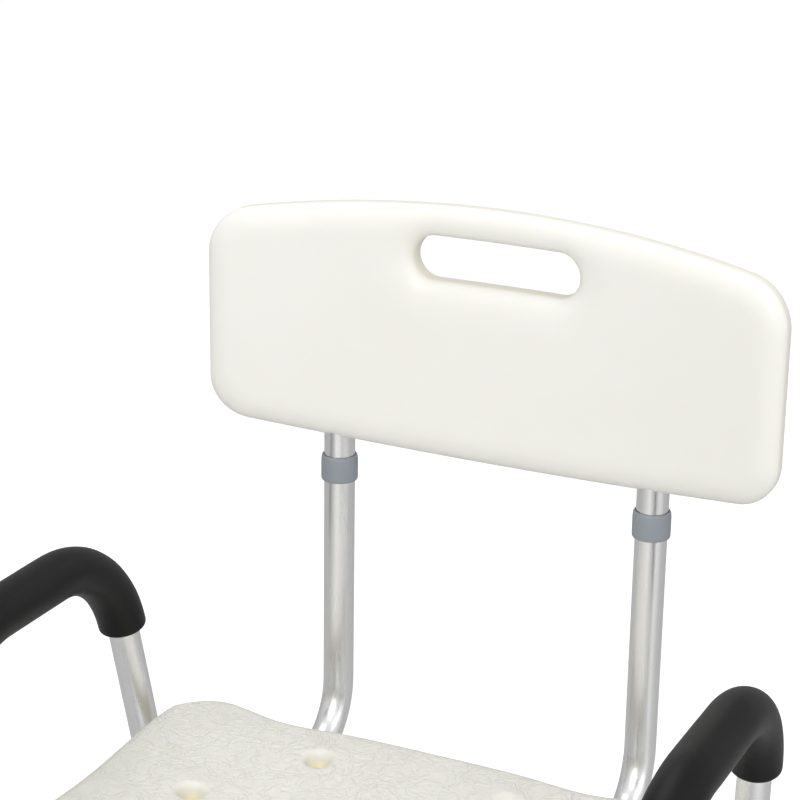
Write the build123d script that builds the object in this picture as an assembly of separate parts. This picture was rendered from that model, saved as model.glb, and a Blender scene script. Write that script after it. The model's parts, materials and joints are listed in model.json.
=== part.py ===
from build123d import *
import math
import os

# Shower chair with arms, a lift-off back and height-adjustable legs.
# Millimetres, +Z up, the sitter faces -Y. The origin is on the floor, midway
# across the chair and midway between its front feet and the back.

# Tubes and fits
tube_od = 25.4
tube_wall = 1.5
slide_gap = 0.08  # radial, between a tube and the tube that slides in it
fixed_gap = 0.05  # radial, between pieces that don't move on each other
lip_gap = 0.3  # radial, between a collar's lip and the tube that moves in it

# Seat
seat_top = 404.0
seat_thick = 36.0
seat_half_width = 234.0
seat_waist = 5.0  # how far the sides pull in at mid depth
seat_rear_reach = 163.0  # from the frame's middle plane to the rear edge
seat_front_reach = 175.0
seat_lobe = 5.0  # rear corners stand this far behind the middle of the edge
seat_dip = 6.0  # and the edge between them this far in front of it
seat_crown = 1.0  # bow of the rear and front edges
seat_crown_rear = 70.0
seat_crown_front = 110.0
seat_dip_x = 132.0
seat_lobe_in = 42.0
seat_rear_corner = [(9.0, 13.0), (0.0, 46.0)]  # in from the side, in from the rear
seat_front_corner = [(0.0, 58.0), (12.0, 22.0), (46.0, 5.0)]
seat_edge = 9.0
seat_under_edge = 7.0
seat_wall = 3.5
seat_rim = 14.0  # solid rim outside the hollow of the moulding
seat_hollow_corner = 40.0
drain_spots = [(80, 111), (143, 23), (126, -72), (52, -122)]
drain_r = 5.5
drain_lip_r = 12.0
drain_lip_depth = 11.0
pad_length = 40.0  # blocks that sit over the rails
pad_wall = 5.0
pad_clear = 3.0  # above the rails' axes

# Back
back_behind = 255.0  # from the frame's middle plane to the axes of the posts
post_spacing = 271.0
post_bend = 53.0
rail_clear = 10.3  # between the seat's underside and the fore-and-aft rails
rail_tail = 13.0  # rail in front of its crossing with the front leg frame
collar_above_seat = 196.0
collar_height = 22.0
collar_wall = 2.3
collar_lip = 6.0  # the collar stands this far above the rim of its tube
collar_lip_bevel = 1.6
collar_end_bevel = 0.8
spigot_length = 150.0
back_tube_rise = 150.0  # top of the back tubes above the collars
panel_above_collar = 13.6
panel_height = 207.0
panel_half_width = 241.0
panel_thick = 26.5
panel_bow_r = 1125.0  # plan curve, hollow towards the sitter
panel_bow_y = 2.4  # middle of the panel behind the posts' axes
panel_top_r = 1250.0
panel_bottom_r = 1940.0
panel_corner_top = 40.0
panel_corner_bottom = 36.0
panel_edge = 9.5
panel_wall = 3.5
panel_rim = 2.0  # solid between the rounded edge and the hollow
grip_length = 139.0
grip_height = 36.0
grip_above_collar = 177.0
grip_edge = 5.0
back_screw_rises = [62.0, 128.0]  # above the collars

# Arms
arm_rise = 140.0  # axis of the arm's top run above the seat
arm_gap = 16.0  # between the seat's side and the arm tubes
arm_half_length = 113.4  # middle plane to the corner of the arm's axis
arm_bend = 91.0
arm_tuck = 0.073  # inward per unit of drop
foam_thick = 6.8
foam_tail = 1.0  # foam past the ends of the bends
arm_bolt_drop = 142.0  # bolts that hold the arms, below the seat's top
arm_spacer = 2.8
arm_spacer_r = 9.0
arm_tail = 13.0  # arm tube below its bolt
arm_standoff = 0.8  # heads and washers stand this far off the slanting tubes

# Legs
lean = 0.184  # outward front and back, per unit of drop
splay = 0.082  # outward sideways, per unit of drop
leg_bend = 40.0
frame_gap = 2.0  # plastic between the rails and the cross tubes
saddle_inset = 0.7  # saddles are this much narrower than the tubes, each side
leg_steps = 6
leg_pitch = 20.0
foot_wall = 4.4
foot_shoulder = 1.5
foot_flare = 5.0
foot_height = 24.0
foot_sleeve_top = 52.0
foot_sole = 8.0
leg_collar_height = 20.0
leg_collar_lip = 4.0

# Snap buttons and their leaf springs
button_r = 4.0
button_proud = 2.5
button_below_collar = 8.0
button_edge = 1.3
button_from_top = 13.0  # below the top of a leg's extension
button_land = 6.0  # between the lowest hole and the leg's collar
spring_thick = 0.8
spring_width = 8.0
spring_length = 40.0
spring_room = 2.2  # between the leaf's middle and the tube that it lies in
spring_above = 8.0
spring_below = 6.0
spring_far_end = 2.0

# Fasteners
bolt_r = 3.0
bolt_head_rim = 2.0
bolt_head_h = 3.6
bolt_end_gap = 0.1
bolt_room = 5.0  # between a leg's extension and the bolt above it
nut_wall = 2.5
nut_h = 8.0
nut_cap = 1.9
washer_rim = 4.0
washer_h = 1.2
insert_wall = 1.6
insert_length = 16.0
insert_recess = 1.0
insert_spare = 2.0  # thread beyond the bolt's end
seat_bolt_y = 100.0
screw_r = 2.1
screw_head_rim = 2.5
screw_head_h = 2.5
screw_cover = 1.8  # plastic left in front of the screws
plug_h = 2.0
plug_stem = 8.0
over = 1.0  # cutting bodies run this far past a face
beyond = 60.0  # and this far past a whole piece

# Worked out from the sizes above
tube_r = tube_od / 2
collar_r = tube_r + collar_wall
foam_r = tube_r + foam_thick
bolt_head_r = bolt_r + bolt_head_rim
nut_r = bolt_r + nut_wall
washer_r = bolt_r + washer_rim
insert_r = bolt_r + insert_wall
screw_head_r = screw_r + screw_head_rim
bore_r = tube_r - tube_wall
inner_r = bore_r - slide_gap
inner_bore_r = inner_r - tube_wall
hole_r = button_r + slide_gap
spring_seat = inner_bore_r - spring_room
foot_sleeve_r = inner_r + foot_wall
foot_top_r = foot_sleeve_r + foot_shoulder
foot_r = foot_top_r + foot_flare
rail_z = seat_top - seat_thick - rail_clear - tube_r
cross_z = rail_z - tube_od - frame_gap
collar_top = seat_top + collar_above_seat
post_rim = collar_top - collar_lip
arm_top = seat_top + arm_rise
arm_bolt_z = seat_top - arm_bolt_drop
arm_x = seat_half_width + arm_gap + tube_r + arm_tuck * arm_rise
arm_slant = math.sqrt(1 + lean**2 + arm_tuck**2)
arm_turn = math.acos(lean / arm_slant)
foam_drop = (arm_bend * math.tan(arm_turn / 2) + foam_tail) / arm_slant
leg_y = arm_half_length + lean * (arm_top - arm_bolt_z)
leg_x = arm_x - arm_tuck * (arm_top - arm_bolt_z) - tube_od - arm_spacer
slant = math.sqrt(1 + lean**2 + splay**2)  # length along a leg per unit of height
foot_reach = leg_y + lean * arm_bolt_z + foot_r
back_reach = back_behind + tube_r + screw_head_h
mid_y = (foot_reach - back_reach) / 2
post_y = mid_y + back_behind
leg_travel = leg_steps * leg_pitch
ext_top = arm_bolt_z * slant - bolt_r - bolt_room  # along the leg, from the floor
leg_button = ext_top - button_from_top
leg_end = leg_button - leg_travel - button_r - button_land - leg_collar_height + leg_collar_lip
rail_front = leg_y - lean * (cross_z - arm_bolt_z) + rail_tail
back_button_z = collar_top - collar_height - button_below_collar
panel_bottom = collar_top + panel_above_collar
panel_top = panel_bottom + panel_height
back_tube_top = collar_top + back_tube_rise
panel_bow = panel_bow_r - math.sqrt(panel_bow_r**2 - (post_spacing / 2) ** 2)  # at the posts
screw_bite = panel_thick / 2 + panel_bow - panel_bow_y - tube_r - screw_cover

sides = {"left": -1, "right": 1}
ends = {"front": -1, "rear": 1}
corners = [(s, e) for e in ends.values() for s in sides.values()]


def leg_point(side, end, z):
    drop = arm_bolt_z - z
    return Vector(side * (leg_x + splay * drop), mid_y + end * (leg_y + lean * drop), z)


def arm_point(side, end, z):
    drop = arm_top - z
    return Vector(side * (arm_x - arm_tuck * drop), mid_y + end * (arm_half_length + lean * drop), z)


def leg_plane(side, end):
    # origin where the leg's axis meets the floor, Z up the leg, X towards the button
    foot = leg_point(side, end, 0)
    up = (leg_point(side, end, 100) - foot).normalized()
    out = Vector(0, end, 0)
    out = (out - up * out.dot(up)).normalized()
    return Plane(origin=foot, x_dir=out, z_dir=up)


def cylinder(radius, low, high):
    return Pos(0, 0, low) * Cylinder(radius, high - low, align=(Align.CENTER, Align.CENTER, Align.MIN))


def ring(outer, inner, low, high):
    return cylinder(outer, low, high) - cylinder(inner, low - over, high + over)


def rod(start, finish, radius):
    # straight round bar between two points
    along = finish - start
    return Plane(origin=start, z_dir=along.normalized()) * cylinder(radius, 0, along.length)


def bent(points, bend, radius, hollow=0.0):
    path = FilletPolyline(*points, radius=bend)
    across = Plane(origin=path @ 0, z_dir=path % 0)
    body = sweep(across * Circle(radius), path=path)
    if hollow:
        body -= sweep(across * Circle(hollow), path=path)
    return body


def save(name, shape):
    shape.label = name
    export_step(shape, f"parts/{name}.step")


def group(shapes):
    return Compound(children=[s.solid() for s in shapes])


# Seat panel

def seat_outline():
    w = seat_half_width
    rear = mid_y + seat_rear_reach
    front = mid_y - seat_front_reach
    half = [(0, rear), (seat_crown_rear, rear - seat_crown), (seat_dip_x, rear - seat_dip)]
    half += [(w - seat_lobe_in, rear + seat_lobe)]
    half += [(w - x, rear - y) for x, y in seat_rear_corner]
    half += [(w - seat_waist, mid_y)]
    half += [(w - x, front + y) for x, y in seat_front_corner]
    half += [(seat_crown_front, front + seat_crown)]
    left = [(-x, y) for x, y in reversed(half[1:])]
    return make_face(Spline(*half, (0, front), *left, periodic=True))


def seat_hollow():
    rear = seat_rear_reach - seat_dip - seat_rim
    front = seat_front_reach - seat_rim
    width = 2 * (seat_half_width - seat_waist - seat_rim)
    return Pos(0, mid_y + (rear - front) / 2) * RectangleRounded(width, rear + front, seat_hollow_corner)


def drains():
    return [(side * x, mid_y + y) for x, y in drain_spots for side in (-1, 1)]


def seat_bolt_spots():
    return [(side * post_spacing / 2, mid_y + end * seat_bolt_y) for side, end in corners]


def seat_panel():
    outline = seat_outline()
    under = seat_top - seat_thick
    panel = extrude(Pos(0, 0, under) * outline, seat_thick)
    panel = fillet(panel.edges().group_by(Axis.Z)[-1], seat_edge)
    panel = fillet(panel.edges().group_by(Axis.Z)[0], seat_under_edge)

    hollow = extrude(Pos(0, 0, under + seat_wall) * seat_hollow(), seat_thick - 2 * seat_wall)
    for x, y in drains():
        hollow -= Pos(x, y, 0) * cylinder(drain_lip_r + seat_wall, under, seat_top)
    for x, y in seat_bolt_spots():
        hollow -= Pos(x, y, 0) * cylinder(insert_r + 2 * seat_wall, under, seat_top)
    panel -= hollow

    for x, y in drains():
        panel -= Pos(x, y, 0) * cylinder(drain_r, under - over, seat_top + over)
        lip = Cone(drain_r, drain_lip_r, drain_lip_depth, align=(Align.CENTER, Align.CENTER, Align.MAX))
        panel -= Pos(x, y, seat_top) * lip
    for x, y in seat_bolt_spots():
        high = under + seat_wall - rail_z
        pad = Box(tube_od + 2 * pad_wall, pad_length, high - pad_clear, align=(Align.CENTER, Align.CENTER, Align.MAX))
        panel += Pos(x, y, rail_z + high) * pad
    for x, y in seat_bolt_spots():
        middle = Vector(x, y, rail_z)
        panel -= rod(middle - Vector(0, pad_length, 0), middle + Vector(0, pad_length, 0), tube_r + fixed_gap)
    for x, y in seat_bolt_spots():
        panel -= Pos(x, y, 0) * cylinder(insert_r + fixed_gap, rail_z, rail_z + tube_r + insert_length)
    return panel


def seat_insert(x, y):
    low = rail_z + tube_r + insert_recess
    return Pos(x, y, 0) * ring(insert_r, bolt_r + fixed_gap, low, rail_z + tube_r + insert_length)


def seat_bolt(x, y):
    low = rail_z - tube_r - washer_h
    bolt = cylinder(bolt_r, low, rail_z + tube_r + insert_length - insert_spare)
    return Pos(x, y, 0) * (bolt + cylinder(bolt_head_r, low - bolt_head_h, low))


def seat_washer(x, y):
    return Pos(x, y, 0) * ring(washer_r, bolt_r + fixed_gap, rail_z - tube_r - washer_h, rail_z - tube_r)


# Posts, rails and leg frames

def crossings():
    return [Vector(side * post_spacing / 2, leg_point(side, end, cross_z).Y, rail_z) for side, end in corners]


def back_post(side):
    x = side * post_spacing / 2
    corner = Vector(x, post_y, rail_z)
    points = [Vector(x, post_y, post_rim), corner, Vector(x, mid_y - rail_front, rail_z)]
    post = bent(points, post_bend, tube_r, bore_r)
    post -= rod(Vector(x, post_y, back_button_z), Vector(x, post_y + tube_od, back_button_z), hole_r)
    for spot in crossings():
        post -= Pos(spot.X, spot.Y, 0) * cylinder(bolt_r + fixed_gap, cross_z, rail_z + tube_od)
    for bx, by in seat_bolt_spots():
        post -= Pos(bx, by, 0) * cylinder(bolt_r + fixed_gap, cross_z, rail_z + tube_od)
    return post


def leg_frame(end):
    tops = [leg_point(side, end, cross_z) for side in (-1, 1)]
    toes = [leg_plane(side, end).from_local_coords(Vector(0, 0, leg_end)) for side in (-1, 1)]
    frame = bent([toes[0], tops[0], tops[1], toes[1]], leg_bend, tube_r, bore_r)
    for side in sides.values():
        plane = leg_plane(side, end)
        for step in range(leg_steps + 1):
            along = leg_button - step * leg_pitch
            start = plane.from_local_coords(Vector(0, 0, along))
            frame -= rod(start, start + plane.x_dir * tube_od, hole_r)
        bolt = leg_point(side, end, arm_bolt_z)
        frame -= rod(bolt - Vector(tube_od, 0, 0), bolt + Vector(tube_od, 0, 0), bolt_r + fixed_gap)
        cross = leg_point(side, end, cross_z)
        bore = cylinder(bolt_r + fixed_gap, cross_z - tube_od, cross_z + tube_od)
        frame -= Pos(side * post_spacing / 2, cross.Y, 0) * bore
    return frame


def rail_saddle(spot):
    # block that keeps a rail and the cross tube under it at right angles
    width = tube_od - 2 * saddle_inset
    block = Pos(spot.X, spot.Y, (rail_z + cross_z) / 2) * Box(width, width, tube_od)
    block -= rod(spot - Vector(0, tube_od, 0), spot + Vector(0, tube_od, 0), tube_r + fixed_gap)
    low = Vector(spot.X, spot.Y, cross_z)
    block -= rod(low - Vector(tube_od, 0, 0), low + Vector(tube_od, 0, 0), tube_r + fixed_gap)
    block -= Pos(spot.X, spot.Y, 0) * cylinder(bolt_r + fixed_gap, cross_z, rail_z)
    return block


def frame_bolt(spot):
    high = rail_z + tube_r
    low = cross_z - tube_r - washer_h - nut_h + nut_cap + bolt_end_gap
    return Pos(spot.X, spot.Y, 0) * (cylinder(bolt_r, low, high) + cylinder(bolt_head_r, high, high + bolt_head_h))


def cap_nut(low, high):
    # dome-ended nut, open at its high end
    return cylinder(nut_r, low, high) - cylinder(bolt_r + fixed_gap, low + nut_cap, high + over)


def frame_nut(spot):
    high = cross_z - tube_r - washer_h
    return Pos(spot.X, spot.Y, 0) * cap_nut(high - nut_h, high)


def frame_washer(spot):
    high = cross_z - tube_r
    return Pos(spot.X, spot.Y, 0) * ring(washer_r, bolt_r + fixed_gap, high - washer_h, high)


def end_plug(end_point, outward):
    # flat cap with a stem that fills the bore
    plug = cylinder(tube_r, 0, plug_h) + cylinder(bore_r - fixed_gap, -plug_stem, 0)
    return Plane(origin=end_point, z_dir=outward) * plug


def sleeve(height, lip, moving_r):
    # collar below Z = 0, tight on a tube's end, with a loose lip round the tube that moves
    body = ring(collar_r, tube_r + fixed_gap, -height, -lip)
    body += ring(collar_r, moving_r + lip_gap, -lip, 0)
    lip_edge = body.edges().filter_by(GeomType.CIRCLE).group_by(Axis.Z)[-1].sort_by(SortBy.RADIUS)[-1]
    body = chamfer(lip_edge, collar_lip_bevel)
    end = body.edges().filter_by(GeomType.CIRCLE).group_by(Axis.Z)[0].sort_by(SortBy.RADIUS)[-1]
    return chamfer(end, collar_end_bevel)


def back_collar(side):
    return Pos(side * post_spacing / 2, post_y, collar_top) * sleeve(collar_height, collar_lip, tube_r)


# Back

def panel_ring(extra=0.0):
    low = panel_bottom - beyond
    high = panel_top + beyond
    body = ring(panel_bow_r + panel_thick / 2 + extra, panel_bow_r - panel_thick / 2 - extra, low, high)
    return Pos(0, post_y + panel_bow_y - panel_bow_r, 0) * body


def panel_outline():
    w = panel_half_width
    top_side = panel_top - (panel_top_r - math.sqrt(panel_top_r**2 - w**2))
    bottom_side = panel_bottom + (panel_bottom_r - math.sqrt(panel_bottom_r**2 - w**2))
    top = ThreePointArc((-w, top_side), (0, panel_top), (w, top_side))
    bottom = ThreePointArc((-w, bottom_side), (0, panel_bottom), (w, bottom_side))
    face = make_face([top, Line((w, top_side), (w, bottom_side)), bottom, Line((-w, bottom_side), (-w, top_side))])
    face = fillet(face.vertices().group_by(Axis.Y)[-1], panel_corner_top)
    return fillet(face.vertices().group_by(Axis.Y)[0], panel_corner_bottom)


def through(face):
    # carries a front-view outline right through the back's thickness
    return extrude(Plane(origin=(0, post_y, 0), x_dir=(1, 0, 0), z_dir=(0, -1, 0)) * face, beyond, both=True)


def grip_face(extra=0.0):
    size = SlotOverall(grip_length + 2 * extra, grip_height + 2 * extra)
    return Pos(0, collar_top + grip_above_collar) * size


def skin_edges(shape, inside=None):
    centre = Vector(0, post_y + panel_bow_y - panel_bow_r, 0)
    skins = (panel_bow_r - panel_thick / 2, panel_bow_r + panel_thick / 2)
    found = []
    for edge in shape.edges():
        spots = [edge @ t for t in (0.0, 0.5, 1.0)]
        radii = [math.hypot(p.X - centre.X, p.Y - centre.Y) for p in spots]
        flat = any(all(abs(r - skin) < 0.01 for r in radii) for skin in skins)
        if flat and (inside is None or abs((edge @ 0.5).X) < inside):
            found.append(edge)
    return found


def backrest_panel():
    outline = panel_outline()
    panel = through(outline) & panel_ring()
    panel = fillet(skin_edges(panel), panel_edge)
    panel -= through(grip_face())
    panel = fillet([e for e in skin_edges(panel, grip_length / 2 + over) if in_grip(e)], grip_edge)

    channel = tube_r + fixed_gap
    hollow = through(offset(outline, -panel_edge - panel_rim) - grip_face(grip_edge + panel_wall))
    hollow &= panel_ring(-panel_wall)
    for side in sides.values():
        keep = Box(2 * (channel + panel_wall), 2 * beyond, 2 * panel_height)
        hollow -= Pos(side * post_spacing / 2, post_y, collar_top + panel_height / 2) * keep
    panel -= hollow

    for side in sides.values():
        x = side * post_spacing / 2
        low = panel_bottom - beyond
        high = back_tube_top + plug_h + over
        panel -= Pos(x, post_y, 0) * cylinder(channel, low, high)
        open_side = Box(2 * channel, beyond, high - low, align=(Align.CENTER, Align.MIN, Align.MIN))
        panel -= Pos(x, post_y, low) * open_side
        for rise in back_screw_rises:
            spot = Vector(x, post_y, collar_top + rise)
            panel -= rod(spot, spot - Vector(0, tube_r + screw_bite + fixed_gap, 0), screw_r + fixed_gap)
    return panel


def in_grip(edge):
    middle = edge @ 0.5
    return abs(middle.Z - collar_top - grip_above_collar) < grip_height / 2 + over


def back_tube(side):
    spigot_low = post_rim - spigot_length
    step = tube_r - inner_r
    tube = cylinder(tube_r, post_rim, back_tube_top) + cylinder(inner_r, spigot_low, post_rim + over)
    tube -= cylinder(bore_r, post_rim + 2 * step, back_tube_top + over)
    tube -= cylinder(inner_bore_r, spigot_low - over, post_rim + 3 * step)
    tube = Pos(side * post_spacing / 2, post_y, 0) * tube
    button = Vector(side * post_spacing / 2, post_y, back_button_z)
    tube -= rod(button, button + Vector(0, tube_od, 0), hole_r)
    for rise in back_screw_rises:
        spot = Vector(side * post_spacing / 2, post_y, collar_top + rise)
        tube -= rod(spot - Vector(0, tube_od, 0), spot + Vector(0, tube_od, 0), screw_r + fixed_gap)
    return tube


def back_screw(side, rise):
    spot = Vector(side * post_spacing / 2, post_y, collar_top + rise)
    seat = spot + Vector(0, tube_r, 0)
    shank = rod(spot - Vector(0, tube_r + screw_bite, 0), seat, screw_r)
    return shank + rod(seat, seat + Vector(0, screw_head_h, 0), screw_head_r)


# Snap buttons, the same in the legs and the back: local X points out of the tube

def snap_button(along):
    start = spring_seat + spring_thick / 2 + fixed_gap
    head = cylinder(button_r, start, tube_r + button_proud)
    head = fillet(head.edges().filter_by(GeomType.CIRCLE).group_by(Axis.Z)[-1], button_edge)
    return Plane(origin=(0, 0, along), z_dir=(1, 0, 0)) * head


def leaf_spring(along):
    far = -math.sqrt(inner_bore_r**2 - (spring_width / 2) ** 2) + spring_thick
    points = [(spring_seat, spring_above), (spring_seat, -spring_below), (0, -spring_length), (far, spring_far_end)]
    strip = trace(Polyline(*points), line_width=spring_thick)
    upright = Plane(origin=(0, 0, along), x_dir=(1, 0, 0), z_dir=(0, -1, 0))
    return extrude(upright * strip, spring_width / 2, both=True)


def back_plane(side):
    return Plane(origin=(side * post_spacing / 2, post_y, 0), x_dir=(0, 1, 0), z_dir=(0, 0, 1))


# Legs

def leg_extension(side, end):
    tube = ring(inner_r, inner_bore_r, foot_sole * slant, ext_top)
    tube -= Plane(origin=(0, 0, leg_button), z_dir=(1, 0, 0)) * cylinder(hole_r, 0, tube_od)
    return leg_plane(side, end) * tube


def foot(side, end):
    plane = leg_plane(side, end)
    base = Cone(foot_r, foot_top_r, foot_height, align=(Align.CENTER, Align.CENTER, Align.MIN))
    body = Pos(*leg_point(side, end, 0)) * base
    body += plane * cylinder(foot_sleeve_r, foot_sole, foot_sleeve_top)
    return body - plane * cylinder(inner_r + fixed_gap, foot_sole * slant, 2 * foot_sleeve_top)


def leg_collar(side, end):
    body = Rot(180, 0, 0) * sleeve(leg_collar_height, leg_collar_lip, inner_r)
    return leg_plane(side, end) * Pos(0, 0, leg_end - leg_collar_lip) * body


# Arms

def arm_run(side, low):
    tops = [arm_point(side, end, arm_top) for end in (1, -1)]
    toes = [arm_point(side, end, low) for end in (1, -1)]
    return [toes[0], tops[0], tops[1], toes[1]]


def arm_tube(side):
    tube = bent(arm_run(side, arm_bolt_z - arm_tail), arm_bend, tube_r, bore_r)
    for end in ends.values():
        spot = arm_point(side, end, arm_bolt_z)
        tube -= rod(spot - Vector(tube_od, 0, 0), spot + Vector(tube_od, 0, 0), bolt_r + fixed_gap)
    return tube


def arm_foam(side):
    return bent(arm_run(side, arm_top - foam_drop), arm_bend, foam_r, tube_r + fixed_gap)


def arm_plug(side, end):
    low = arm_point(side, end, arm_bolt_z - arm_tail)
    return end_plug(low, (low - arm_point(side, end, arm_bolt_z)).normalized())


def arm_spacer_block(side, end):
    leg = leg_point(side, end, arm_bolt_z)
    arm = arm_point(side, end, arm_bolt_z)
    up_leg = leg_plane(side, end).z_dir * tube_od
    up_arm = (arm_point(side, end, arm_top) - arm).normalized() * tube_od
    block = rod(leg, arm, arm_spacer_r)
    block -= rod(leg - up_leg, leg + up_leg, tube_r + fixed_gap)
    block -= rod(arm - up_arm, arm + up_arm, tube_r + fixed_gap)
    return block - rod(leg, arm, bolt_r + fixed_gap)


def arm_bolt(side, end):
    out = Vector(side, 0, 0)
    start = leg_point(side, end, arm_bolt_z) - out * (tube_r + arm_standoff)
    finish = arm_point(side, end, arm_bolt_z) + out * (tube_r + arm_standoff + washer_h + nut_h)
    finish -= out * (nut_cap + bolt_end_gap)
    return rod(start, finish, bolt_r) + rod(start - out * bolt_head_h, start, bolt_head_r)


def arm_washer(side, end):
    seat = arm_point(side, end, arm_bolt_z) + Vector(side * (tube_r + arm_standoff), 0, 0)
    return Plane(origin=seat, z_dir=(side, 0, 0)) * ring(washer_r, bolt_r + fixed_gap, 0, washer_h)


def arm_nut(side, end):
    seat = arm_point(side, end, arm_bolt_z) + Vector(side * (tube_r + arm_standoff + washer_h), 0, 0)
    return Plane(origin=seat, z_dir=(-side, 0, 0)) * cap_nut(-nut_h, 0)


# One file for each named piece, or for each set of the same fastener

os.makedirs("parts", exist_ok=True)
save("seat_panel", seat_panel())
save("seat_inserts", group([seat_insert(x, y) for x, y in seat_bolt_spots()]))
save("seat_bolts", group([seat_bolt(x, y) for x, y in seat_bolt_spots()]))
save("seat_washers", group([seat_washer(x, y) for x, y in seat_bolt_spots()]))
save("rail_saddles", group([rail_saddle(s) for s in crossings()]))
save("frame_bolts", group([frame_bolt(s) for s in crossings()]))
save("frame_washers", group([frame_washer(s) for s in crossings()]))
save("frame_nuts", group([frame_nut(s) for s in crossings()]))
save("backrest_panel", backrest_panel())
save("back_screws", group([back_screw(s, r) for s in sides.values() for r in back_screw_rises]))
save("arm_spacers", group([arm_spacer_block(s, e) for s, e in corners]))
save("arm_bolts", group([arm_bolt(s, e) for s, e in corners]))
save("arm_washers", group([arm_washer(s, e) for s, e in corners]))
save("arm_nuts", group([arm_nut(s, e) for s, e in corners]))
save("arm_plugs", group([arm_plug(s, e) for s, e in corners]))

rail_ends = [Vector(s * post_spacing / 2, mid_y - rail_front, rail_z) for s in sides.values()]
save("rail_plugs", group([end_plug(p, Vector(0, -1, 0)) for p in rail_ends]))
tube_ends = [Vector(s * post_spacing / 2, post_y, back_tube_top) for s in sides.values()]
save("back_tube_plugs", group([end_plug(p, Vector(0, 0, 1)) for p in tube_ends]))

for side_name, side in sides.items():
    save(f"back_post_{side_name}", back_post(side))
    save(f"back_collar_{side_name}", back_collar(side))
    save(f"back_tube_{side_name}", back_tube(side))
    save(f"back_button_{side_name}", back_plane(side) * snap_button(back_button_z))
    save(f"back_spring_{side_name}", back_plane(side) * leaf_spring(back_button_z))
    save(f"arm_tube_{side_name}", arm_tube(side))
    save(f"arm_foam_{side_name}", arm_foam(side))

for end_name, end in ends.items():
    save(f"leg_frame_{end_name}", leg_frame(end))
    for side_name, side in sides.items():
        corner = f"{end_name}_{side_name}"
        save(f"leg_extension_{corner}", leg_extension(side, end))
        save(f"leg_collar_{corner}", leg_collar(side, end))
        save(f"foot_{corner}", foot(side, end))
        save(f"leg_button_{corner}", leg_plane(side, end) * snap_button(leg_button))
        save(f"leg_spring_{corner}", leg_plane(side, end) * leaf_spring(leg_button))

print("height", round(panel_top, 1), "middle plane y", round(mid_y, 2), "posts y", round(post_y, 2))
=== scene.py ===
import bpy
import bmesh
import json
import math
from mathutils import Matrix, Vector, noise
from mathutils.geometry import delaunay_2d_cdt


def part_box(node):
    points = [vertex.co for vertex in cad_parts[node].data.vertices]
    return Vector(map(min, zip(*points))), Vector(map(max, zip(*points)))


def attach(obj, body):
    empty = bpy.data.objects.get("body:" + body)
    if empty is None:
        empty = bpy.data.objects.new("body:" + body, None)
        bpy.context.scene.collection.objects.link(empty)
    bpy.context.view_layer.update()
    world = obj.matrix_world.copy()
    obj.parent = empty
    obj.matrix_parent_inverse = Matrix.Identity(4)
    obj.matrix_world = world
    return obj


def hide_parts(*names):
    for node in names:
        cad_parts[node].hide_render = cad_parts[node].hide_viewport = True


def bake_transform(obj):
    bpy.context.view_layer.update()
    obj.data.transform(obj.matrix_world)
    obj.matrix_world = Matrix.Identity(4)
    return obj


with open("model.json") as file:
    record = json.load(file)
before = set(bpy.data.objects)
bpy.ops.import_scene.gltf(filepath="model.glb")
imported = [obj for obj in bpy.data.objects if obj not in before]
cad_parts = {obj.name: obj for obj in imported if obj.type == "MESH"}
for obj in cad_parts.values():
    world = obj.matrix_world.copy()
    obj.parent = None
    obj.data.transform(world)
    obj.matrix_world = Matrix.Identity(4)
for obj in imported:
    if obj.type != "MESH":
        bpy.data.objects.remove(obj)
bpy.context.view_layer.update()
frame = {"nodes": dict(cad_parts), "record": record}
nodes = frame["nodes"]
print("frame loaded,", len(nodes), "nodes")


# places that the pieces below are built to
def middle(node):
    low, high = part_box(node)
    return (low + high) / 2


postLow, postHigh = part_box("back_post_right")
tubeRadius = (postHigh.x - postLow.x) / 2
postX = (postLow.x + postHigh.x) / 2
postY = middle("back_collar_right").y
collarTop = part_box("back_collar_right")[1].z
panelLow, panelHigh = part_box("backrest_panel")
seatLow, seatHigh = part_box("seat_panel")
armLow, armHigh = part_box("arm_tube_right")
midY = (armLow.y + armHigh.y) / 2
sides = {"left": -1, "right": 1}


def makePiece(name, verts, faces, body, slotName, *replaced):
    mesh = bpy.data.meshes.new(name)
    mesh.from_pydata([tuple(v) for v in verts], [], faces)
    mesh.update()
    piece = bpy.data.objects.new(name, mesh)
    bpy.context.scene.collection.objects.link(piece)
    tidyMesh(piece)
    if body:
        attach(piece, body)
    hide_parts(*replaced)
    return piece


def tidyMesh(piece):
    work = bmesh.new()
    work.from_mesh(piece.data)
    bmesh.ops.remove_doubles(work, verts=work.verts, dist=1e-6)
    bmesh.ops.recalc_face_normals(work, faces=work.faces)
    for face in work.faces:
        face.smooth = True
    work.to_mesh(piece.data)
    work.free()


def bakeModifiers(piece):
    graph = bpy.context.evaluated_depsgraph_get()
    fresh = bpy.data.meshes.new_from_object(piece.evaluated_get(graph))
    old = piece.data
    piece.modifiers.clear()
    piece.data = fresh
    bpy.data.meshes.remove(old)
    for face in piece.data.polygons:
        face.use_smooth = True


def ringFaces(start, count, rings, closed=False):
    faces = []
    last = rings if closed else rings - 1
    for ring in range(last):
        a = start + ring * count
        b = start + ((ring + 1) % rings) * count
        for i in range(count):
            j = (i + 1) % count
            faces.append((a + i, a + j, b + j, b + i))
    return faces


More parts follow.
